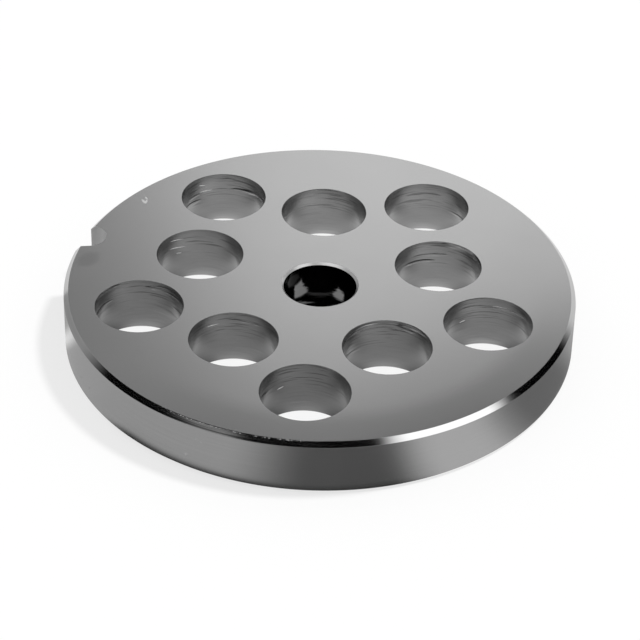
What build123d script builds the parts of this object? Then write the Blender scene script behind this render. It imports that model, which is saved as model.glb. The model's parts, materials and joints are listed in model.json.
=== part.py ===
from build123d import *
from math import cos, pi, sin, sqrt
import os

# A meat grinder plate: a flat steel disc that closes the mouth of the grinder's barrel.
# Meat leaves through the ring holes, the auger's spigot turns in the bore, and a peg in
# the barrel stands in the key notch and keeps the plate from turning with the knife.
# Origin at the bore's centre on the outlet face, +Z towards the cutting face, the key
# notch on -X. Millimetres.

# Turned blank
PLATE_DIAMETER = 70.0
PLATE_THICKNESS = 8.0
CUTTING_FACE_CHAMFER = 0.65  # at 45 degrees, round the rim
OUTLET_FACE_CHAMFER = 0.5

# Bore for the auger's spigot
BORE_DIAMETER = 10.0
BORE_CHAMFER = 0.3

# Two rings of through holes, the outer turned by half a pitch against the inner
HOLE_DIAMETER = 12.0
HUB_LAND = 6.4  # metal between the bore and the inner holes
RIM_LAND = 4.25  # metal between the outer holes and the rim
LEAST_WEB = 2.5  # metal between neighbouring holes, which sets how many fit in a ring
OUTLET_EDGE_BREAK = 0.3  # deburred edge of each hole on the outlet face

# The rings are drilled on one jig, which sits a little off the plate's axis and the notch
DRILL_SHIFT_X = -0.6
DRILL_SHIFT_Y = 0.3
DRILL_TURN = -2.9  # degrees

# Key notch in the rim: a full-round end, one side straight out to a sharp corner, and the
# other side relieved at an angle to an eased corner, to lead the plate onto the peg
NOTCH_WIDTH = 5.0
NOTCH_DEPTH = 3.3
NOTCH_RELIEF = 24.0  # degrees
NOTCH_CORNER_RADIUS = 0.3
NOTCH_ANGLE = 180  # degrees, on -X

plate_radius = PLATE_DIAMETER / 2
bore_radius = BORE_DIAMETER / 2
hole_radius = HOLE_DIAMETER / 2
inner_ring_radius = bore_radius + HUB_LAND + hole_radius
outer_ring_radius = plate_radius - RIM_LAND - hole_radius
notch_radius = NOTCH_WIDTH / 2
notch_end_centre = plate_radius - NOTCH_DEPTH + notch_radius
first_hole_angle = NOTCH_ANGLE + DRILL_TURN


def hole_spacing(count):
    """Least distance between the centres of neighbouring holes, with count in each ring."""
    within_ring = 2 * inner_ring_radius * sin(pi / count)
    across_rings = sqrt(
        inner_ring_radius**2
        + outer_ring_radius**2
        - 2 * inner_ring_radius * outer_ring_radius * cos(pi / count)
    )
    return min(within_ring, across_rings)


def mouths(radius):
    """The circular edges of one radius on the part so far, in groups from the lowest up."""
    circles = plate.edges().filter_by(GeomType.CIRCLE)
    return circles.filter_by(lambda edge: abs(edge.radius - radius) < 1e-6).group_by(Axis.Z)


# As many holes as leave the least web between them: five in each ring at these sizes
holes_per_ring = 2
while hole_spacing(holes_per_ring + 1) >= HOLE_DIAMETER + LEAST_WEB:
    holes_per_ring += 1

with BuildPart() as plate:
    # The blank, turned with both rim chamfers
    with BuildSketch(Plane.XZ):
        with BuildLine():
            Polyline(
                (0, 0),
                (plate_radius - OUTLET_FACE_CHAMFER, 0),
                (plate_radius, OUTLET_FACE_CHAMFER),
                (plate_radius, PLATE_THICKNESS - CUTTING_FACE_CHAMFER),
                (plate_radius - CUTTING_FACE_CHAMFER, PLATE_THICKNESS),
                (0, PLATE_THICKNESS),
                close=True,
            )
        make_face()
    revolve(axis=Axis.Z)

    # The key notch: the blank is cut to a disc with a round-ended slot in its edge, and the
    # same slot, turned about its end, relieves one side
    with BuildSketch() as keyed_disc:
        Circle(plate_radius)
        with PolarLocations(notch_end_centre, 1, NOTCH_ANGLE):
            Circle(notch_radius, mode=Mode.SUBTRACT)
            for turn in (0, NOTCH_RELIEF):
                Rectangle(
                    plate_radius,
                    NOTCH_WIDTH,
                    rotation=turn,
                    align=(Align.MIN, Align.CENTER),
                    mode=Mode.SUBTRACT,
                )
        mouth_corners = keyed_disc.vertices().sort_by(Axis.X)[:2]
        fillet(mouth_corners.sort_by(Axis.Y)[0], NOTCH_CORNER_RADIUS)
    extrude(amount=PLATE_THICKNESS, mode=Mode.INTERSECT)

    # The bore, chamfered from both faces
    with Locations((0, 0, PLATE_THICKNESS)):
        Hole(bore_radius)
    chamfer(mouths(bore_radius)[0] + mouths(bore_radius)[-1], BORE_CHAMFER)

    # The ring holes, sharp on the cutting face and deburred on the outlet face
    with Locations((DRILL_SHIFT_X, DRILL_SHIFT_Y, PLATE_THICKNESS)):
        with PolarLocations(inner_ring_radius, holes_per_ring, first_hole_angle):
            Hole(hole_radius)
        outer_angle = first_hole_angle + 180 / holes_per_ring
        with PolarLocations(outer_ring_radius, holes_per_ring, outer_angle):
            Hole(hole_radius)
    chamfer(mouths(hole_radius)[0], OUTLET_EDGE_BREAK)

plate.part.label = "grinder_plate"
os.makedirs("parts", exist_ok=True)
export_step(plate.part, "parts/grinder_plate.step")
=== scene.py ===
import json
from math import atan2, cos, pi, radians, sin

import bpy
import numpy as np
from mathutils import Matrix, Vector
from mathutils.geometry import delaunay_2d_cdt


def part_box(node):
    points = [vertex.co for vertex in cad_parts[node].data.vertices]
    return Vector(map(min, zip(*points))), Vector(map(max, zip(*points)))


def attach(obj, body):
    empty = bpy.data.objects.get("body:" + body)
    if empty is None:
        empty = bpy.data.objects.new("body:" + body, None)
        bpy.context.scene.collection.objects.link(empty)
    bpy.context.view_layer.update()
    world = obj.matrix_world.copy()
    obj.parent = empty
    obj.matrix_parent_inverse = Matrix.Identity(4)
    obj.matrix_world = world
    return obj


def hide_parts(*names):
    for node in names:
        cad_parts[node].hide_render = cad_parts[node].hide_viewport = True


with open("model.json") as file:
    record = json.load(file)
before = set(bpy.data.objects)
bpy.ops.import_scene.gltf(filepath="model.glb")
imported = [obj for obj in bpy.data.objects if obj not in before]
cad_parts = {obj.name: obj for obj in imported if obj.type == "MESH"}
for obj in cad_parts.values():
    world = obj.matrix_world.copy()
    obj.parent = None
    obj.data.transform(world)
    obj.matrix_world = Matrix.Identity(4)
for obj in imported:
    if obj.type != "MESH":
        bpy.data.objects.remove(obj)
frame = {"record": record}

# A meat grinder plate of ground steel on a white table. The plate's fine mesh stands for its
# CAD node. Metres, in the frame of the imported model: origin at the bore's centre on the outlet
# face, +Z towards the cutting face, the key notch on -X.

MM = 0.001
record = frame["record"]
mounts = {mount["name"]: mount for mount in record["mounts"]}
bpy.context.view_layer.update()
plate_low, plate_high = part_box("grinder_plate")

# The plate's sizes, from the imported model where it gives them
THICKNESS = plate_high.z - plate_low.z
PLATE_RADIUS = mounts["rim"]["dims"]["r_mm"] * MM
BORE_RADIUS = mounts["bore"]["dims"]["r_mm"] * MM
NOTCH_END_DISTANCE = -mounts["key_notch"]["pos_m"][0]
HOLE_RADIUS = 6.0 * MM
RING_HOLES = {  # each one's middle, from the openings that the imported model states
    opening["name"]: np.array(opening["box_m"])[:, :2].mean(axis=0)
    for opening in record["physics"]["openings"]}
NOTCH_HALF_WIDTH = 2.5 * MM
NOTCH_RELIEF = radians(24)  # of the side towards -Y
NOTCH_CORNER_RADIUS = 0.3 * MM  # of that side's corner; the other is sharp
CUTTING_FACE_CHAMFER = 0.65 * MM
OUTLET_FACE_CHAMFER = 0.5 * MM
BORE_CHAMFER = 0.3 * MM
OUTLET_EDGE_BREAK = 0.3 * MM

# How finely the surfaces are cut up
EDGE_RADIUS = 0.04 * MM  # what grinding leaves of a sharp edge
EDGE_STEPS = 4
RIM_SEGMENTS = 360
HOLE_SEGMENTS = 112
NOTCH_SIDE_STEPS = 16
NOTCH_END_STEPS = 32
CLOSEST_POINTS = 1e-7 * MM  # what the cutting of flat faces takes for one point

# The camera, which looks at the plate from beyond its front edge
CAMERA_DISTANCE = 0.3557  # from the bore's centre on the cutting face
CAMERA_AZIMUTH = radians(17.62)
CAMERA_ELEVATION = radians(35.196)
CAMERA_PAN = radians(-0.019)
CAMERA_TILT = radians(0.790)
CAMERA_ROLL = radians(1.451)
CAMERA_LENS = 146.13  # millimetres, on a sensor 36 mm wide
SENSOR_WIDTH = 36.0
CAMERA_REACH = (0.01, 10.0)  # the nearest and the farthest that it sees


# ---------------------------------------------------------------- shapes


def rounded_profile(corners, side, first, last):
    """A chain of (radius, height) corners with each one turned into a small arc.

    Each arc's points are its centre plus the edge radius times a unit normal that turns evenly
    from the normal of the side before the corner to that of the side after it. first and last
    are the directions of the chain before its first corner and after its last. side is +1 where
    the metal lies to the right of the chain and -1 where it lies to the left. Returns the
    points and their outward normals.
    """
    corners = np.array(corners)
    steps = np.diff(corners, axis=0)
    ways = np.vstack([[first], steps / np.linalg.norm(steps, axis=1)[:, None], [last]])
    normals = side * np.stack([-ways[:, 1], ways[:, 0]], axis=1)
    before, after = ways[:-1], ways[1:]
    turn = np.arccos(np.clip((before * after).sum(1), -1, 1))
    centres = corners - EDGE_RADIUS * (np.tan(turn / 2)[:, None] * before + normals[:-1])
    start = np.arctan2(normals[:-1, 1], normals[:-1, 0])
    angles = start[:, None] - side * turn[:, None] * np.linspace(0, 1, EDGE_STEPS + 1)
    arcs = np.stack([np.cos(angles), np.sin(angles)], axis=-1)
    points = centres[:, None] + EDGE_RADIUS * arcs
    return points.reshape(-1, 2), arcs.reshape(-1, 2)


def grid_faces(rows, columns):
    """The four-cornered faces between the points of a grid that is stored row by row."""
    first = (np.arange(rows - 1)[:, None] * columns + np.arange(columns - 1)).ravel()
    return np.stack([first, first + columns, first + columns + 1, first + 1], axis=1)


def patch(points, normals, material):
    """A grid of points with a normal each, as one patch of the plate's skin, whose faces are
    turned to look the way that the normals point."""
    faces = grid_faces(points.shape[0], points.shape[1])
    points, normals = points.reshape(-1, 3), normals.reshape(-1, 3)
    corner = points[faces]
    looks = np.cross(corner[:, 2] - corner[:, 0], corner[:, 3] - corner[:, 1])
    if (looks * normals[faces[:, 0]]).sum() < 0:
        faces = faces[:, ::-1]
    return points, normals, faces, material


def round_wall(centre, profile, normals, segments):
    """The profile carried round a vertical axis: x and y are the centre's plus radius times the
    cosine and sine of the turn, z is the height. The last column repeats the first."""
    turn = np.linspace(0, 2 * pi, segments + 1)
    turn[-1] = 0
    around = np.stack([np.cos(turn), np.sin(turn)], axis=-1)
    radius, height = profile[:, 0], profile[:, 1]
    points = np.empty((len(profile), segments + 1, 3))
    points[..., :2] = np.array(centre) + radius[:, None, None] * around
    points[..., 2] = height[:, None]
    outward = np.empty_like(points)
    outward[..., :2] = normals[:, 0][:, None, None] * around
    outward[..., 2] = normals[:, 1][:, None]
    return points, outward


def hole_profile(radius, top_break, bottom_break):
    """The wall of a through hole from the cutting face down, with a bevel of each size."""
    corners = [(radius + top_break, THICKNESS)] if top_break else []
    corners += [(radius, THICKNESS - top_break), (radius, bottom_break), (radius + bottom_break, 0)]
    return rounded_profile(corners, side=-1, first=(-1, 0), last=(1, 0))


def rim_profile():
    """The rim from the cutting face out, down and back in to the outlet face."""
    corners = [
        (PLATE_RADIUS - CUTTING_FACE_CHAMFER, THICKNESS),
        (PLATE_RADIUS, THICKNESS - CUTTING_FACE_CHAMFER),
        (PLATE_RADIUS, OUTLET_FACE_CHAMFER),
        (PLATE_RADIUS - OUTLET_FACE_CHAMFER, 0),
    ]
    return rounded_profile(corners, side=1, first=(1, 0), last=(-1, 0))


class NotchSide:
    """One side of the key notch, worked out with the notch on +X and this side towards +Y.

    It is a straight line that touches the round end and is turned outwards by the relief, and a
    corner arc that touches both that line and the rim. Points are given by their run, the length
    from the rim along the arc and then the line. a is measured from the end's centre along the
    line and t across it, so the line is t = half width.
    """

    def __init__(self, relief, corner_radius):
        self.relief, self.corner_radius = relief, corner_radius
        self.along = np.array([cos(relief), sin(relief)])
        self.across = np.array([-sin(relief), cos(relief)])
        self.end = np.array([NOTCH_END_DISTANCE, 0.0])
        self.centre_t = NOTCH_HALF_WIDTH + corner_radius
        self.centre_a = self.meets(PLATE_RADIUS - corner_radius, self.centre_t)
        centre = self.end + self.centre_a * self.along + self.centre_t * self.across
        self.bearing = atan2(centre[1], centre[0])
        self.first_turn = self.bearing - relief
        self.arc_length = corner_radius * (self.first_turn + pi / 2)
        self.length = self.arc_length + self.centre_a

    def meets(self, radius, t):
        """The a at which a circle round the plate's axis meets the line of points at t."""
        middle = self.end @ self.along
        offset = self.end @ self.end + t**2 + 2 * t * (self.end @ self.across)
        return np.sqrt(middle**2 - offset + radius**2) - middle

    def start(self, radius):
        """The run at which a circle of each radius meets the side."""
        reach = PLATE_RADIUS - self.corner_radius
        cosine = (reach**2 + radius**2 - self.corner_radius**2) / (2 * reach * radius)
        angle = self.bearing - np.arccos(np.clip(cosine, -1, 1))
        x = radius * np.cos(angle) - reach * cos(self.bearing)
        y = radius * np.sin(angle) - reach * sin(self.bearing)
        turn = np.arctan2(y, x) - self.relief
        line_a = self.meets(radius, NOTCH_HALF_WIDTH)
        return np.where(line_a > self.centre_a, self.corner_radius * (self.first_turn - turn),
                        self.length - line_a)

    def at(self, run):
        """The point and the normal at each run: x, y, normal x, normal y."""
        turn = self.first_turn - run / self.corner_radius
        on_arc = run < self.arc_length
        a = np.where(on_arc, self.centre_a + self.corner_radius * np.cos(turn), self.length - run)
        t = np.where(on_arc, self.centre_t + self.corner_radius * np.sin(turn), NOTCH_HALF_WIDTH)
        normal_a = np.where(on_arc, np.cos(turn), 0)
        normal_t = np.where(on_arc, np.sin(turn), -1)
        point = self.end + a[..., None] * self.along + t[..., None] * self.across
        normal = normal_a[..., None] * self.along + normal_t[..., None] * self.across
        return np.concatenate([point, normal], axis=-1)

    def rows(self, radii):
        """One row of points for each radius, from the rim to the round end, closer together
        near the rim: the run grows with the square of the step."""
        start = self.start(radii)[:, None]
        share = np.linspace(0, 1, NOTCH_SIDE_STEPS + 1) ** 2
        return self.at(start + (self.length - start) * share)


def notch_rows(radii):
    """The notch's outline at each radius of the rim: the relieved side, half a circle less the
    relief, and the straight side, each worked out on +X and then turned to -X."""
    relieved = NotchSide(NOTCH_RELIEF, NOTCH_CORNER_RADIUS).rows(radii)
    straight = NotchSide(0.0, EDGE_RADIUS).rows(radii)[:, ::-1] * (1, -1, 1, -1)
    turn = np.linspace(pi / 2 + NOTCH_RELIEF, 3 * pi / 2, NOTCH_END_STEPS + 1)[1:-1]
    end = np.stack([NOTCH_END_DISTANCE + NOTCH_HALF_WIDTH * np.cos(turn),
                    NOTCH_HALF_WIDTH * np.sin(turn), -np.cos(turn), -np.sin(turn)], axis=-1)
    end = np.broadcast_to(end, (len(radii), *end.shape))
    return -np.concatenate([relieved, end, straight], axis=1)


def keyed_rim(profile, normals):
    """The rim's profile carried round from one side of the key notch to the other, and the
    notch's own wall, which follows the same heights. x and y are the radius times the cosine and
    sine of a turn, which runs evenly between the bearings of the notch's two sides."""
    radius, height = profile[:, 0], profile[:, 1]
    rows = notch_rows(radius)
    level = np.broadcast_to(height[:, None, None], (*rows.shape[:2], 1))
    wall = np.concatenate([rows[..., :2], level], axis=-1)
    wall_normals = np.concatenate([rows[..., 2:], np.zeros(level.shape)], axis=-1)
    begin = np.arctan2(wall[:, -1, 1], wall[:, -1, 0])[:, None] % (2 * pi)
    finish = np.arctan2(wall[:, 0, 1], wall[:, 0, 0])[:, None] % (2 * pi) - 2 * pi
    turn = begin + (finish - begin) * np.linspace(0, 1, RIM_SEGMENTS + 1)
    around = np.stack([np.cos(turn), np.sin(turn)], axis=-1)
    level = np.broadcast_to(height[:, None, None], (*turn.shape, 1))
    band = np.concatenate([radius[:, None, None] * around, level], axis=-1)
    upward = np.broadcast_to(normals[:, 1:, None], (*turn.shape, 1))
    band_normals = np.concatenate([normals[:, :1, None] * around, upward], axis=-1)
    band[:, 0], band[:, -1] = wall[:, -1], wall[:, 0]
    return (band, band_normals), (wall, wall_normals)


def flat_face(loops, up, material):
    """A flat face between an outer loop and the loops of its holes, cut into triangles."""
    points = np.concatenate(loops)
    ends = np.cumsum([len(loop) for loop in loops])
    rings = [np.arange(end - len(loop), end) for loop, end in zip(loops, ends)]
    edges = np.concatenate([np.stack([ring, np.roll(ring, -1)], axis=1) for ring in rings])
    flat = (points[:, :2] / MM).tolist()
    _, _, cut, sources, _, _ = delaunay_2d_cdt(flat, edges.tolist(), [], 0, CLOSEST_POINTS / MM)
    triangles = np.array(sources)[:, 0][np.array(cut)]
    middles = points[triangles].mean(axis=1)[:, :2]
    keep = inside(middles, loops[0][:, :2])
    for loop in loops[1:]:
        keep &= ~inside(middles, loop[:, :2])
    triangles = triangles[keep]
    corner = points[triangles]
    area = np.cross(corner[:, 1] - corner[:, 0], corner[:, 2] - corner[:, 0])[:, 2]
    triangles = np.where((area * up < 0)[:, None], triangles[:, ::-1], triangles)
    normals = np.broadcast_to((0.0, 0.0, float(up)), points.shape)
    return points, normals, triangles, material


def inside(points, loop):
    """Which points lie inside a closed loop, by counting the sides that a ray to +X crosses."""
    after = np.roll(loop, -1, axis=0)
    x, y = points[:, :1], points[:, 1:]
    spans = (loop[:, 1] > y) != (after[:, 1] > y)
    rise = np.where(after[:, 1] == loop[:, 1], 1, after[:, 1] - loop[:, 1])
    crossing = loop[:, 0] + (y - loop[:, 1]) * (after[:, 0] - loop[:, 0]) / rise
    return (spans & (x < crossing)).sum(axis=1) % 2 == 1


def build_mesh(name, patches, materials):
    """Joins the patches where their points are the same, keeping each patch's own normals."""
    points = np.concatenate([part[0] for part in patches])
    normals = np.concatenate([part[1] for part in patches])
    offsets = np.cumsum([0] + [len(part[0]) for part in patches])
    vertices, place = np.unique(points, axis=0, return_inverse=True)
    place = place.ravel()
    faces, corner_normals, slots = [], [], []
    for part, offset in zip(patches, offsets):
        corners = part[2] + offset
        faces += place[corners].tolist()
        corner_normals.append(normals[corners].reshape(-1, 3))
        slots.append(np.full(len(corners), part[3]))
    mesh = bpy.data.meshes.new(name)
    mesh.from_pydata(vertices.tolist(), [], faces)
    for material in materials:
        mesh.materials.append(material)
    mesh.polygons.foreach_set("material_index", np.concatenate(slots).astype(np.int32))
    mesh.polygons.foreach_set("use_smooth", np.ones(len(faces), bool))
    mesh.normals_split_custom_set(np.concatenate(corner_normals).tolist())
    mesh.update()
    return mesh


FACE, CHAMFER, RIM, DRILLED, BORE, NOTCH = range(6)


def grinder_plate(materials):
    """The plate's whole skin: both flat faces, the keyed rim, the bore and the ring holes."""
    (band, band_normals), (wall, wall_normals) = keyed_rim(*rim_profile())
    row = 2 * (EDGE_STEPS + 1) - 1  # a top chamfer's lower rounding ends on this row
    patches = [
        patch(band[:row + 1], band_normals[:row + 1], CHAMFER),
        patch(band[row:], band_normals[row:], RIM),
        patch(wall, wall_normals, NOTCH),
    ]
    outer = [np.concatenate([band[end, :-1], wall[end, :-1]]) for end in (0, -1)]
    tops, bottoms = [outer[0]], [outer[1]]
    bevelled = hole_profile(BORE_RADIUS, BORE_CHAMFER, BORE_CHAMFER)
    drilled = hole_profile(HOLE_RADIUS, 0, OUTLET_EDGE_BREAK)
    walls = [(round_wall((0, 0), *bevelled, HOLE_SEGMENTS), BORE, row)]
    walls += [(round_wall(centre, *drilled, HOLE_SEGMENTS), DRILLED, 0)
              for centre in RING_HOLES.values()]
    for (points, outward), material, lip in walls:  # lip is the row that its top chamfer ends on
        patches.append(patch(points[lip:], outward[lip:], material))
        if lip:
            patches.append(patch(points[:lip + 1], outward[:lip + 1], CHAMFER))
        tops.append(points[0, :-1])
        bottoms.append(points[-1, :-1])
    patches += [flat_face(tops, 1, FACE), flat_face(bottoms, -1, FACE)]
    return build_mesh("grinder_plate_skin", patches, materials)


# ---------------------------------------------------------------- shader maths


class Value:
    """A shader socket that Python's arithmetic turns into Math nodes."""

    def __init__(self, shader, socket):
        self.shader, self.socket = shader, socket

    def math(self, operation, *values):
        """This value put through a Math node, with the values of its other sockets."""
        node = self.shader.node("ShaderNodeMath", {"operation": operation},
                                dict(enumerate((self, *values))))
        return node.out()

    def __add__(self, other):
        return self.math("ADD", other)

    def __sub__(self, other):
        return self.math("SUBTRACT", other)

    def __rsub__(self, other):
        return (self * -1) + other

    def __mul__(self, other):
        return self.math("MULTIPLY", other)

    def __truediv__(self, other):
        return self.math("DIVIDE", other)

    __radd__ = __add__
    __rmul__ = __mul__


class Node:
    """A shader node whose outputs are taken by name or number."""

    def __init__(self, shader, made):
        self.shader, self.made = shader, made

    def out(self, key=0):
        """One of the node's outputs as a value."""
        return Value(self.shader, self.made.outputs[key])


class Shader:
    """The node tree of a material or of the world."""

    def __init__(self, owner):
        owner.use_nodes = True
        self.tree = owner.node_tree
        self.tree.nodes.clear()

    def node(self, kind, settings=None, inputs=None):
        """One node: its settings first, then the values or links of its sockets."""
        made = self.tree.nodes.new(kind)
        for key, value in (settings or {}).items():
            setattr(made, key, value)
        for key, value in (inputs or {}).items():
            if isinstance(value, Value):
                self.tree.links.new(value.socket, made.inputs[key])
            else:
                made.inputs[key].default_value = value
        return Node(self, made)

    def place(self, stretch):
        """The piece's own coordinates in metres, times a stretch along each axis."""
        own = self.node("ShaderNodeTexCoord").out("Object")
        return self.node("ShaderNodeMapping", {}, {"Vector": own, "Scale": stretch}).out()

    def millimetres(self):
        """The piece's own x, y and z in millimetres."""
        parts = self.node("ShaderNodeSeparateXYZ", {}, {0: self.place([1 / MM] * 3)})
        return parts.out(0), parts.out(1), parts.out(2)

    def noise(self, scale, detail, roughness=0.5, stretch=(1, 1, 1)):
        """Noise on the piece's own coordinates, in periods to the metre."""
        return self.node("ShaderNodeTexNoise", {}, {
            "Vector": self.place(stretch), "Scale": scale, "Detail": detail,
            "Roughness": roughness}).out("Fac")

    def rings(self, across, down, detail):
        """Noise with so many periods to the metre across the plate and down through it."""
        return self.noise(1.0, detail, stretch=(across, across, down))

    def smooth(self, value, low, high):
        """0 below low, 1 above high and an even S between them."""
        return self.node("ShaderNodeMapRange", {"interpolation_type": "SMOOTHSTEP"},
                         {0: value, 1: low, 2: high}).out()

    def grey(self, value):
        """A number as a grey colour."""
        return self.node("ShaderNodeCombineColor", {}, {0: value, 1: value, 2: value}).out()


# ---------------------------------------------------------------- steel finishes
# A level is how much of the light a finish gives back, and a swing scales how far a noise takes
# a value either way. A noise is given by its periods to the metre and its detail, and one of
# rings by its periods across the plate and down through it, and its detail. A range is where
# something fades in. Depths are in millimetres below the cutting face, and radii in millimetres
# from the plate's axis.

STEEL = 0.60  # the level of bare steel


def steel(name, finish, bump_distance=0.0):
    """A metal whose colour, roughness, bare metal share and height come from its finish."""
    material = bpy.data.materials.new(name)
    shader = Shader(material)
    look = finish(shader)
    inputs = {"Base Color": shader.grey(look["level"]), "Roughness": look["roughness"],
              "Metallic": look.get("metal", 1.0)}
    if bump_distance:
        inputs["Normal"] = shader.node("ShaderNodeBump", {}, {
            "Height": look["height"], "Distance": bump_distance}).out()
    surface = shader.node("ShaderNodeBsdfPrincipled", {}, inputs)
    shader.node("ShaderNodeOutputMaterial", {}, {0: surface.out()})
    return material


def swing(noise, amount):
    """A noise as a value that swings about 0."""
    return (noise - 0.5) * amount


def square(value):
    """A value times itself."""
    return value.math("POWER", 2)


# Small marks on the cutting face, in millimetres: the middle, the direction in degrees, half
# the length and half the width
NICK = {  # hooked, behind the notch
    "first_stroke": ((-30.18, 10.80), -45, 0.75, 0.24),
    "second_stroke": ((-29.82, 10.90), 100, 0.65, 0.20),
    "hook": ((-30.15, 11.72), 135, 0.45, 0.18),
}
DARK_MARKS = {
    "front_speck": ((-17.88, -22.67), 20, 0.35, 0.18),
    "small_speck": ((-6.90, -26.85), 0, 0.18, 0.14),
    "cloud": ((-32.0, -5.3), 80, 2.6, 1.8),
}


def face_marks(shader, marks):
    """1 on each mark of the cutting face and 0 round it. A mark fades with the square of the
    distance from its middle, in half lengths along it and half widths across."""
    x, y, _ = shader.millimetres()
    total = 0
    for (mark_x, mark_y), direction, half_length, half_width in marks.values():
        cosine, sine = cos(radians(direction)), sin(radians(direction))
        right, away = x - mark_x, y - mark_y
        along, across = right * cosine + away * sine, away * cosine - right * sine
        far = square(along / half_length) + square(across / half_width)
        total = 1 - shader.smooth(far, 0.0, 1.0) + total
    return total


# Small marks on upright walls, in millimetres and degrees: the azimuth and the depth of the
# middle, half the length, half the width, and how far it climbs for each millimetre along it
PAINTED_GLINTS = {  # painted highlights, bright marks on scores, by the ring hole that they are in
    "outer_hole_5": [(141.6, 1.40, 0.65, 0.07, 0.25), (136.1, 2.50, 1.20, 0.09, 0.03)],
    "inner_hole_1": [(144.1, 1.07, 1.30, 0.07, 0.15), (143.6, 2.38, 1.55, 0.08, 0.17),
                     (140.6, 3.42, 0.50, 0.06, 0.20)],
    "inner_hole_2": [(138.1, 1.60, 1.10, 0.07, 0.04)],
    "outer_hole_2": [(141.1, 3.30, 0.65, 0.08, -0.15)],
    "outer_hole_3": [(139.1, 3.45, 0.58, 0.08, -0.10)],
}
RIM_SPECKS = [(-136.8, 5.49, 0.13, 0.13, 0.0), (-132.1, 5.33, 0.13, 0.13, 0.0)]
RIM_SCUFFS = [(-97.7, 2.64, 0.60, 0.20, -0.4), (-100.9, 5.54, 0.35, 0.25, 0.3)]
WALL_MARK_RANGE = (0.2, 1.0)


def wall_marks(shader, marks, axis, radius):
    """1 on each mark of a round wall and 0 round it. A mark's middle is its wall's axis plus the
    radius times the cosine and sine of its azimuth, and it fades as a mark on the face does."""
    x, y, z = shader.millimetres()
    total = 0
    for azimuth, depth, half_length, half_width, climb in marks:
        cosine, sine = cos(radians(azimuth)), sin(radians(azimuth))
        right = x - (axis[0] + radius * cosine) / MM
        away = y - (axis[1] + radius * sine) / MM
        along, off = away * cosine - right * sine, right * cosine + away * sine
        above = z - (THICKNESS / MM - depth) - along * climb
        far = square(along / half_length) + square(above / half_width) + square(off)
        total = 1 - shader.smooth(far, *WALL_MARK_RANGE) + total
    return total


PAINTED_SHADE_MIDDLE = radians(-50)  # where a painted shade makes the face a little darker towards the rim
PAINTED_SHADE_HALF = (radians(35), radians(75))
PAINTED_SHADE_RADII = (27.0, 31.5)


def painted_rim_shade(shader):
    """1 near the rim along the stretch of painted shade, where the face is darker, and 0 elsewhere.
    """
    x, y, _ = shader.millimetres()
    off = (y.math("ARCTAN2", x) - PAINTED_SHADE_MIDDLE).math("ABSOLUTE")
    radius = (x * x + y * y).math("SQRT")
    return shader.smooth(radius, *PAINTED_SHADE_RADII) * (1 - shader.smooth(off, *PAINTED_SHADE_HALF))


FACE_CLOUDS, FACE_CLOUD_SWING = (60.0, 3.0), 0.04
FACE_GRAIN, FACE_GRAIN_SWING = (3000.0, 3.0, 0.7), 0.05  # its detail is rough
FACE_WEAR, FACE_WEAR_SWING = (90.0, 4.0), 0.04
FACE_ROUGHNESS = 0.24
NICK_ROUGHNESS = 0.2  # more than the face's
NICK_TORN = 0.8  # how much of its bare metal is gone
DARK_MARK_DEPTH = 0.09
# how much darker the painted shade makes the face near the rim
PAINTED_SHADE_DEPTH = 0.12


def ground_face(shader):
    """Fine grinding with faint clouds, a nick by the notch, a few dark marks and a painted shade
    near the rim.
    """
    nick = face_marks(shader, NICK)
    clouds = swing(shader.noise(*FACE_CLOUDS), FACE_CLOUD_SWING)
    grain = swing(shader.noise(*FACE_GRAIN), FACE_GRAIN_SWING)
    wear = swing(shader.noise(*FACE_WEAR), FACE_WEAR_SWING)
    # the dark marks, and the painted shade along one stretch of the rim
    darker = face_marks(shader, DARK_MARKS) * DARK_MARK_DEPTH + painted_rim_shade(shader) * PAINTED_SHADE_DEPTH
    return {
        "level": STEEL + clouds + grain - darker,
        "roughness": FACE_ROUGHNESS + wear + nick * NICK_ROUGHNESS,
        "metal": 1 - nick.math("MINIMUM", 1.0) * NICK_TORN,
    }


EDGE_RINGS, EDGE_RING_SWING = (40, 9000, 2.0), 0.12
EDGE_POLISH, EDGE_POLISH_SWING = (60, 9000, 3.0), 0.06
EDGE_ROUGHNESS = 0.09
EDGE_DARKEST = 0.03
CHATTER_MIDDLE = radians(-91)  # the stretch of the bevel where the tool chattered, which also has a painted shade
CHATTER_HALF = (radians(12), radians(20))
CHATTER_LINES, CHATTER_SWING, CHATTER_PAINTED_SHADE = (40, 4500, 2.0), 3.5, 0.3
BURR_SPECKS, BURR_SPECK_RANGE = (5000.0, 1.0), (0.58, 0.66)
BURR_DEPTHS = (0.06, 0.16)
BURR_TORN = 0.8
LIP_RADII = (7, 8)  # what lies nearer the axis is the bore's lip
LIP_BRIGHTER, LIP_ROUGHER = 0.1, 0.26


def turned_edge(shader):
    """A bevel with fine rings left by the lathe. Along the stretch where the tool chattered they
    are deep, the level there is lowered as painted shade, and a torn burr of bright specks stands
    at the top. The bore's lip has the same finish, but is duller."""
    x, y, z = shader.millimetres()
    off = (y.math("ARCTAN2", x) - CHATTER_MIDDLE).math("ABSOLUTE")
    chatter = 1 - shader.smooth(off, *CHATTER_HALF)
    lip = 1 - shader.smooth((x * x + y * y).math("SQRT"), *LIP_RADII)
    top = 1 - shader.smooth(THICKNESS / MM - z, *BURR_DEPTHS)
    burr = shader.smooth(shader.noise(*BURR_SPECKS), *BURR_SPECK_RANGE) * chatter * top
    # the chatter lines are tool marks; taking off the painted shade darkens the whole stretch
    lines = (swing(shader.rings(*CHATTER_LINES), CHATTER_SWING) - CHATTER_PAINTED_SHADE) * chatter
    rings = swing(shader.rings(*EDGE_RINGS), EDGE_RING_SWING)
    polish = swing(shader.rings(*EDGE_POLISH), EDGE_POLISH_SWING)
    level = STEEL + rings + lines * (1 - lip) + lip * LIP_BRIGHTER
    return {
        "level": level.math("MAXIMUM", EDGE_DARKEST),
        "roughness": EDGE_ROUGHNESS + polish + lip * LIP_ROUGHER,
        "metal": 1 - burr * BURR_TORN,
    }


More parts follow.
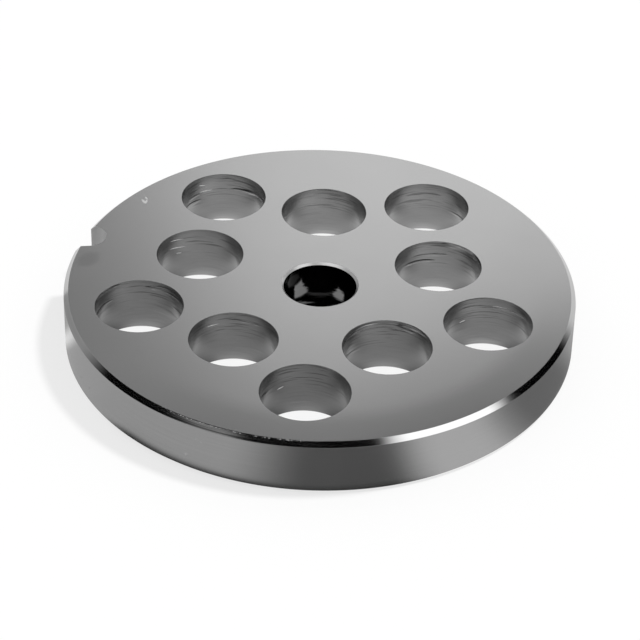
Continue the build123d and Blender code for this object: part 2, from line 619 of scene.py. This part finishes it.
RIM_RINGS, RIM_RING_SWING = (40, 5000, 2.0), 0.06
RIM_POLISH, RIM_POLISH_SWING = (60, 5000, 3.0), 0.06
RIM_LEVEL, RIM_ROUGHNESS = 0.56, 0.25
RIM_SPECK_DEPTH = 0.40
SCUFF_GRAIN, SCUFF_RANGE, SCUFF_TORN = (5000.0, 1.0), (0.50, 0.60), 0.6


def turned_rim(shader):
    """The rim: closer rings, less bright than the bevel, with two specks and two scuffs."""
    specks = wall_marks(shader, RIM_SPECKS, (0, 0), PLATE_RADIUS)
    scuffs = wall_marks(shader, RIM_SCUFFS, (0, 0), PLATE_RADIUS)
    torn = scuffs * shader.smooth(shader.noise(*SCUFF_GRAIN), *SCUFF_RANGE)
    rings = swing(shader.rings(*RIM_RINGS), RIM_RING_SWING)
    return {
        "level": RIM_LEVEL + rings - specks * RIM_SPECK_DEPTH,
        "roughness": RIM_ROUGHNESS + swing(shader.rings(*RIM_POLISH), RIM_POLISH_SWING),
        "metal": 1 - torn * SCUFF_TORN,
    }


WALL_STREAKS, WALL_STREAK_RANGE, WALL_STREAK_SWING = (200, 5000, 3.0), (0.54, 0.66), 0.10
WALL_STREAK_DEPTH, WALL_STREAK_TOP_DEPTH = 0.04, 0.14
WALL_SCORES, WALL_SCORE_RANGE = (100, 800, 1.0), (0.60, 0.72)
WALL_SCORE_HEIGHT, WALL_SCORE_TOP_HEIGHT, WALL_STREAK_HEIGHT = 0.1, 0.6, 0.02
WALL_POLISH, WALL_POLISH_SWING = (150, 3000, 3.0), 0.08
# the walls' level is below bare steel's, as painted shade down the holes
WALL_PAINTED_SHADE_LEVEL, WALL_ROUGHNESS = 0.32, 0.24
WALL_TOP_DEPTHS = (1.5, 5.0)
WALL_BUMP = 0.20 * MM
# how much brighter the painted highlights on the scores are; they are not metal
PAINTED_GLINT_BRIGHTER = 0.6


def drilled_wall(shader):
    """A hole's wall, darker than bare steel as painted shade: fine dark streaks round it, near the
    cutting face a few deeper scores, and painted highlights on a few of them."""
    _, _, z = shader.millimetres()
    top = 1 - shader.smooth(THICKNESS / MM - z, *WALL_TOP_DEPTHS)
    scores = shader.smooth(shader.rings(*WALL_SCORES), *WALL_SCORE_RANGE)
    streaks = shader.rings(*WALL_STREAKS)
    dark = shader.smooth(streaks, *WALL_STREAK_RANGE)
    darker = dark * (WALL_STREAK_DEPTH + top * WALL_STREAK_TOP_DEPTH)
    # painted highlights: bright marks that are not metal, on a few scores
    painted_glints = sum(wall_marks(shader, marks, RING_HOLES[hole], HOLE_RADIUS)
                 for hole, marks in PAINTED_GLINTS.items()).math("MINIMUM", 1.0)
    score_height = WALL_SCORE_HEIGHT + top * WALL_SCORE_TOP_HEIGHT
    return {
        "level": WALL_PAINTED_SHADE_LEVEL + swing(streaks, WALL_STREAK_SWING) - darker + painted_glints * PAINTED_GLINT_BRIGHTER,
        "roughness": WALL_ROUGHNESS + swing(shader.rings(*WALL_POLISH), WALL_POLISH_SWING),
        "metal": 1 - painted_glints,
        "height": scores * score_height + streaks * WALL_STREAK_HEIGHT,
    }


BORE_RINGS, BORE_RING_SWING = (90, 2600, 3.0), 0.02
# the bore's near-black level is painted shade, for the dark that it mirrors
BORE_PAINTED_SHADE_LEVEL, BORE_ROUGHNESS, BORE_RING_ROUGHNESS = 0.07, 0.05, 0.03
BORE_BUMP = 0.012 * MM


def reamed_bore(shader):
    """The bore: smooth as a mirror, with shallow rings, and near black as painted shade."""
    rings = shader.rings(*BORE_RINGS)
    return {
        "level": BORE_PAINTED_SHADE_LEVEL + swing(rings, BORE_RING_SWING),
        "roughness": BORE_ROUGHNESS + rings * BORE_RING_ROUGHNESS,
        "height": rings,
    }


CUTTER_LINES, CUTTER_SWING, CUTTER_ROUGHNESS_SWING = (900, 60, 2.0), 0.08, 0.1
NOTCH_LEVEL, NOTCH_ROUGHNESS = 0.48, 0.55


def milled_notch(shader):
    """The key notch: dull, with marks of the cutter down its wall."""
    lines = shader.rings(*CUTTER_LINES)
    return {
        "level": NOTCH_LEVEL + swing(lines, CUTTER_SWING),
        "roughness": NOTCH_ROUGHNESS + swing(lines, CUTTER_ROUGHNESS_SWING),
    }


# ---------------------------------------------------------------- studio
# What the steel mirrors is a set of soft cards that only reflections see: a dome over the
# plate, the floor round it, and the floor seen down its holes. Azimuths are in degrees,
# anticlockwise from the camera's right, and 90 is away from the camera. The cards of a table
# are laid in order, each over those before it. A brightness of 1 is white.

DOME_RADIUS = 0.35
DOME_LEVEL = 0.5
# Middle (azimuth, elevation), half width and half height, softness of the two, how far the card
# climbs for each degree of azimuth, and brightness
DOME_CARDS = {
    "left_wall": ((140, 4), (36, 16), (10, 6), 0, 0.36),
    "right_wall": ((62, 6), (29, 22), (9, 8), 0, 0.8),
    "back_shade": ((92, 42), (38, 22), (8, 8), 0, 0.24),
    "window": ((80.2, 27.2), (19, 26.8), (7.9, 1.4), -1.07, 0.90),
    "corner_shade": ((79, 52.2), (18.1, 14.5), (1.4, 1.0), 0.38, 0.0),
    "overhead_left": ((-127, 60), (42, 14), (6, 2), 0.16, 1.6),
    "overhead_right": ((-43, 60), (28, 14), (4, 2), -0.22, 0.65),
    "overhead_gap": ((-78, 55), (7, 9), (3, 3), 0, 0.02),
    "left_flag": ((188, 29.5), (22, 5.5), (9, 2.5), 0.445, 0.0),
    "front_left_flag": ((-128, 43), (28, 5), (6, 2.5), 0.17, 0.0),
    "front_flag": ((-84, 46.3), (26, 5), (6, 2.5), 0.0, 0.0),
    "dim_card": ((-138, 41.3), (11, 7), (7, 3), 0.17, 0.22),
    "softbox": ((-30, 37.5), (24, 9.5), (7, 3), -0.3, 1.7),
    "right_flag": ((13, 18.8), (19.5, 6), (7, 3), -0.57, 0.0),
}
# The floor round the plate: azimuth of the middle, half width, softness and brightness
FLOOR_LEVEL = 0.435
FLOOR_CARDS = {
    "front": (-83.5, 18.5, 11, 0.085),
    "front_right": (-54, 11, 7, 0.62),
    "right": (-23, 15, 8, 0.18),
    "back": (90, 84, 8, 0.80),
    "left_gap": (175, 5.5, 2.5, 0.42),
    "left_gleam": (-174.5, 2.5, 2.5, 0.95),
}
# The floor that meets the plate's lower edge: pale, and dark along the front left
EDGE_LEVEL = 0.60
EDGE_SOFTNESS = 0.5 * MM
CONTACT_AZIMUTH, CONTACT_HALF, CONTACT_SOFT = -104, 39, 9
CONTACT_REACH = 1.2 * MM
CONTACT_LEVEL = 0.03
# The floor down the bore: middle, half width and half height, softness (all in millimetres, x
# to the camera's right and y away), how far the card leans to the right for each millimetre
# away, and brightness
BORE_CARDS = {
    "left": ((-1.60, 2.2), (0.90, 0.95), 0.15, 0.5, 2.05),
    "right": ((2.6, 2.0), (1.45, 1.4), 0.15, -0.3, 2.05),
    "bridge": ((0, 1.2), (1.2, 0.22), 0.12, 0, 0.30),
}
# The floor down a ring hole, from its middle and in hole radii: its level, how much brighter it
# gets to the right, away and with the square of the distance, and the bright foot of the far
# wall: its level, where it fades in and where it ends at the sides
WELL_LEVEL, WELL_RIGHT, WELL_AWAY, WELL_OUT = 0.38, 0.10, 0.056, 0.10
FOOT_LEVEL, FOOT_AWAY, FOOT_SIDES = 0.14, (0.55, 0.95), (0.2, 0.5)
# Two soft shades at the back: how far to the right, and how much darker
WELL_SHADES = {"left": (-0.62, 0.25), "right": (0.62, 0.36)}
SHADES_AWAY, SHADES_SPREAD = 0.66, 0.18
# From hole to hole: the gain at the plate's axis, and its growth for each metre away and right
WELL_GAIN, WELL_GAIN_AWAY, WELL_GAIN_RIGHT = 1.44, 16.7, 4.0
# How far below the outlet face each sheet lies, so that none hides another
FLOOR_CARDS_DEPTH = 0.020 * MM
WELL_FLOORS_DEPTH = 0.010 * MM
BORE_FLOOR_DEPTH = 0.005 * MM
# Where the rings of points on the floor lie
FLOOR_RINGS = np.linspace(PLATE_RADIUS - 1 * MM, PLATE_RADIUS + 3 * MM, 41)
FLOOR_END = DOME_RADIUS + 10 * MM
WELL_RINGS = np.arange(0, 33, 0.5) * MM
BORE_FLOOR_HALF, BORE_FLOOR_POINTS = 1.06 * BORE_RADIUS, 107
DOME_FOOT = -2.0  # degrees of elevation


def smooth(value, low, high):
    """0 below low, 1 above high and an even S between them."""
    share = np.clip((value - low) / (high - low), 0, 1)
    return share * share * (3 - 2 * share)


def within(distance, half, soft):
    """1 within half of the middle and 0 past it, with a soft step between."""
    return 1 - smooth(np.abs(distance), half - soft, half + soft)


def past(azimuth, middle):
    """How many degrees an azimuth lies past a card's middle, from -180 to 180."""
    return (azimuth - middle + 180) % 360 - 180


def dome_glow(azimuth, elevation):
    """The dome's brightness, from its cards laid one over the other."""
    glow = np.full(azimuth.shape, DOME_LEVEL)
    for middle, half, soft, climb, bright in DOME_CARDS.values():
        along = past(azimuth, middle[0])
        up = elevation - middle[1] - climb * along
        card = within(along, half[0], soft[0]) * within(up, half[1], soft[1])
        glow += card * (bright - glow)
    return glow


def floor_glow(azimuth, radius):
    """The floor's brightness round the plate, with a dark line where they meet in front."""
    glow = np.full(azimuth.shape, FLOOR_LEVEL)
    for middle, half, soft, bright in FLOOR_CARDS.values():
        glow += within(past(azimuth, middle), half, soft) * (bright - glow)
    contact = within(past(azimuth, CONTACT_AZIMUTH), CONTACT_HALF, CONTACT_SOFT)
    reach = PLATE_RADIUS + CONTACT_REACH * contact
    under = 1 - smooth(radius, reach - EDGE_SOFTNESS, reach + EDGE_SOFTNESS)
    edge = EDGE_LEVEL + contact * (CONTACT_LEVEL - EDGE_LEVEL)
    return glow + under * (edge - glow)


def bore_glow(x, y):
    """The floor down the bore: black, with two grey patches and a faint bridge."""
    glow = np.zeros(x.shape)
    for middle, half, soft, lean, bright in BORE_CARDS.values():
        away = y / MM - middle[1]
        right = x / MM - middle[0] - lean * away
        glow = np.maximum(glow, within(right, half[0], soft) * within(away, half[1], soft) * bright)
    return glow


def well_glow(x, y):
    """The floor down the ring holes, by the hole whose middle is nearest."""
    middles = to_camera_frame(np.array(list(RING_HOLES.values())))
    apart = np.hypot(x[..., None] - middles[:, 0], y[..., None] - middles[:, 1])
    hole_x, hole_y = middles[apart.argmin(axis=-1)].transpose(2, 0, 1)
    right, away = (x - hole_x) / HOLE_RADIUS, (y - hole_y) / HOLE_RADIUS
    out = right**2 + away**2
    glow = WELL_LEVEL + WELL_RIGHT * right + WELL_AWAY * away + WELL_OUT * out
    glow += FOOT_LEVEL * smooth(away, *FOOT_AWAY) * (1 - smooth(np.abs(right), *FOOT_SIDES))
    for side, depth in WELL_SHADES.values():
        far = (right - side) ** 2 + (away - SHADES_AWAY) ** 2
        glow -= depth * np.exp(-far / SHADES_SPREAD)
    gain = WELL_GAIN + WELL_GAIN_AWAY * hole_y + WELL_GAIN_RIGHT * hole_x
    return np.maximum(glow, 0) * gain


def to_camera_frame(points):
    """Points of the plate, with x to the camera's right and y away from it."""
    a = CAMERA_AZIMUTH
    return points @ np.array([[cos(a), -sin(a)], [sin(a), cos(a)]])


def stage_mesh(name, points, faces, material):
    """A piece of the stage, from its points, its faces and its one material."""
    mesh = bpy.data.meshes.new(name)
    mesh.from_pydata(points.reshape(-1, 3).tolist(), [], faces.tolist())
    mesh.materials.append(material)
    obj = bpy.data.objects.new(name, mesh)
    bpy.context.scene.collection.objects.link(obj)
    return obj


def emission(shader, colour):
    """Light of a colour, the same from every side."""
    return shader.node("ShaderNodeEmission", {}, {"Color": colour, "Strength": 1.0}).out()


def card_material():
    """Glows as its sheet's own attribute says."""
    material = bpy.data.materials.new("studio_cards")
    shader = Shader(material)
    glow = shader.node("ShaderNodeAttribute", {"attribute_name": "glow"}).out("Fac")
    shader.node("ShaderNodeOutputMaterial", {}, {0: emission(shader, shader.grey(glow))})
    material.cycles.emission_sampling = "NONE"
    return material


def card_sheet(name, points, glow, material):
    """A sheet of cards from a grid of points and how much each glows. It is laid out in the
    camera's frame, turned into the plate's, and seen by reflections alone."""
    sheet = stage_mesh(name, points, grid_faces(*glow.shape), material)
    attribute = sheet.data.attributes.new("glow", "FLOAT", "POINT")
    attribute.data.foreach_set("value", glow.ravel().astype(np.float32))
    sheet.rotation_euler.z = CAMERA_AZIMUTH
    sheet.visible_camera = sheet.visible_diffuse = sheet.visible_transmission = False
    sheet.visible_shadow = sheet.visible_volume_scatter = False


def studio_dome(material):
    """A dome round the middle of the cutting face, in steps of a degree. x and y are the
    radius times the cosine and sine of the azimuth times the cosine of the elevation, and z is
    the radius times the sine of the elevation."""
    azimuth, elevation = np.meshgrid(np.arange(0, 361.0), np.arange(DOME_FOOT, 91.0))
    a, e = np.radians(azimuth), np.radians(elevation)
    points = DOME_RADIUS * np.stack([np.cos(a) * np.cos(e), np.sin(a) * np.cos(e), np.sin(e)], -1)
    card_sheet("studio_dome", points + (0, 0, THICKNESS), dome_glow(azimuth, elevation), material)


def polar_grid(radii, height):
    """Rings of points round the plate's axis, a degree apart, with their azimuths and radii. x
    and y are the radius times the cosine and sine of the azimuth."""
    azimuth, radius = np.meshgrid(np.arange(0, 361.0), radii)
    a = np.radians(azimuth)
    points = np.stack([radius * np.cos(a), radius * np.sin(a), np.full(a.shape, height)], -1)
    return points, azimuth, radius


def floor_cards(material):
    """The floor all round, with rings closer together at the plate's edge."""
    radii = [0.0, *FLOOR_RINGS, FLOOR_END]
    points, azimuth, radius = polar_grid(radii, -FLOOR_CARDS_DEPTH)
    card_sheet("floor_cards", points, floor_glow(azimuth, radius), material)


def well_floors(material):
    """What the walls of the ring holes mirror."""
    points, _, _ = polar_grid(WELL_RINGS, -WELL_FLOORS_DEPTH)
    card_sheet("well_floors", points, well_glow(points[..., 0], points[..., 1]), material)


def bore_floor(material):
    """What the bore's wall mirrors, on a square grid of points."""
    line = np.linspace(-BORE_FLOOR_HALF, BORE_FLOOR_HALF, BORE_FLOOR_POINTS)
    x, y = np.meshgrid(line, line)
    points = np.stack([x, y, np.full(x.shape, -BORE_FLOOR_DEPTH)], -1)
    card_sheet("bore_floor", points, bore_glow(points[..., 0], points[..., 1]), material)


# The table and the light on it
TABLE_SIDE = 6.0
TABLE_DEPTH = 0.040 * MM  # below the outlet face and every sheet of cards
TABLE_COLOUR = 0.95
TABLE_GLOW_SHARE = 0.68  # how much of the table's white is its own
WELL_GLOW_SHARE = 0.90  # and where it is seen down a hole
WELL_GLOW_RADII = (PLATE_RADIUS / MM - 2, PLATE_RADIUS / MM)
ROOM_FILL = 0.55
KEY_STRENGTH = 1.85
KEY_SIZE = radians(9)
KEY_AZIMUTH = radians(15)
KEY_ELEVATION = radians(62)


def white_table():
    """A white floor: part of it glows, so that the plate's shadow is a soft one."""
    material = bpy.data.materials.new("white_table")
    shader = Shader(material)
    x, y, _ = shader.millimetres()
    outside = shader.smooth((x * x + y * y).math("SQRT"), *WELL_GLOW_RADII)
    share = WELL_GLOW_SHARE + outside * (TABLE_GLOW_SHARE - WELL_GLOW_SHARE)
    lit = shader.node("ShaderNodeBsdfDiffuse", {}, {"Color": (*[TABLE_COLOUR] * 3, 1)}).out()
    both = shader.node("ShaderNodeMixShader", {}, {
        0: share, 1: lit, 2: emission(shader, (1, 1, 1, 1))}).out()
    shader.node("ShaderNodeOutputMaterial", {}, {0: both})
    half = TABLE_SIDE / 2
    corners = np.array([(-half, -half, 0), (half, -half, 0), (half, half, 0), (-half, half, 0)])
    table = stage_mesh("white_table", corners, np.array([[0, 1, 2, 3]]), material)
    table.location.z = -TABLE_DEPTH


def white_room():
    """White behind everything that is seen or mirrored, and a low even light elsewhere."""
    world = bpy.data.worlds.new("white_room")
    bpy.context.scene.world = world
    shader = Shader(world)
    path = shader.node("ShaderNodeLightPath")
    seen = (path.out("Is Camera Ray").math("MAXIMUM", path.out("Is Glossy Ray"))
            .math("MAXIMUM", path.out("Is Transmission Ray")))
    level = seen + (1 - seen) * ROOM_FILL
    back = shader.node("ShaderNodeBackground", {}, {"Color": shader.grey(level)}).out()
    shader.node("ShaderNodeOutputWorld", {}, {0: back})


def key_light():
    """A sun of a soft width, which casts the plate's shadow and isn't mirrored."""
    light = bpy.data.lights.new("key_light", "SUN")
    light.energy, light.angle = KEY_STRENGTH, KEY_SIZE
    key = bpy.data.objects.new("key_light", light)
    bpy.context.scene.collection.objects.link(key)
    a, e = KEY_AZIMUTH + CAMERA_AZIMUTH, KEY_ELEVATION
    towards = Vector((cos(a) * cos(e), sin(a) * cos(e), sin(e)))
    key.rotation_euler = towards.to_track_quat("Z", "Y").to_euler()
    key.visible_glossy = False


def studio():
    """The sheets of cards, the table, the room and the light."""
    cards = card_material()
    studio_dome(cards)
    floor_cards(cards)
    well_floors(cards)
    bore_floor(cards)
    white_table()
    white_room()
    key_light()


def make_camera():
    """Stands off from the bore's centre on the cutting face, then pans, tilts and rolls."""
    a, e = CAMERA_AZIMUTH, CAMERA_ELEVATION
    back = Vector((sin(a) * cos(e), -cos(a) * cos(e), sin(e)))
    right = Vector((cos(a), sin(a), 0))
    up = back.cross(right)
    aim = (back * cos(CAMERA_TILT) * cos(CAMERA_PAN) + right * sin(CAMERA_PAN) * cos(CAMERA_TILT)
           + up * sin(CAMERA_TILT)).normalized()
    side = up.cross(aim).normalized()
    top = aim.cross(side)
    x = side * cos(CAMERA_ROLL) + top * sin(CAMERA_ROLL)
    y = top * cos(CAMERA_ROLL) - side * sin(CAMERA_ROLL)
    data = bpy.data.cameras.new("camera")
    data.lens, data.sensor_width = CAMERA_LENS, SENSOR_WIDTH
    camera = bpy.data.objects.new("camera", data)
    bpy.context.scene.collection.objects.link(camera)
    turn = Matrix((x, y, aim)).transposed().to_4x4()
    stand = Vector((0, 0, THICKNESS)) + back * CAMERA_DISTANCE
    camera.matrix_world = Matrix.Translation(stand) @ turn
    data.clip_start, data.clip_end = CAMERA_REACH
    bpy.context.scene.camera = camera


finishes = [  # in the order of the patches' materials
    steel("ground_face", ground_face),
    steel("turned_edge", turned_edge),
    steel("turned_rim", turned_rim),
    steel("drilled_wall", drilled_wall, WALL_BUMP),
    steel("reamed_bore", reamed_bore, BORE_BUMP),
    steel("milled_notch", milled_notch),
]
plate = bpy.data.objects.new("plate", grinder_plate(finishes))
bpy.context.scene.collection.objects.link(plate)
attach(plate, "root")
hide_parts("grinder_plate")
studio()
make_camera()

bpy.context.scene.view_settings.view_transform = "Standard"
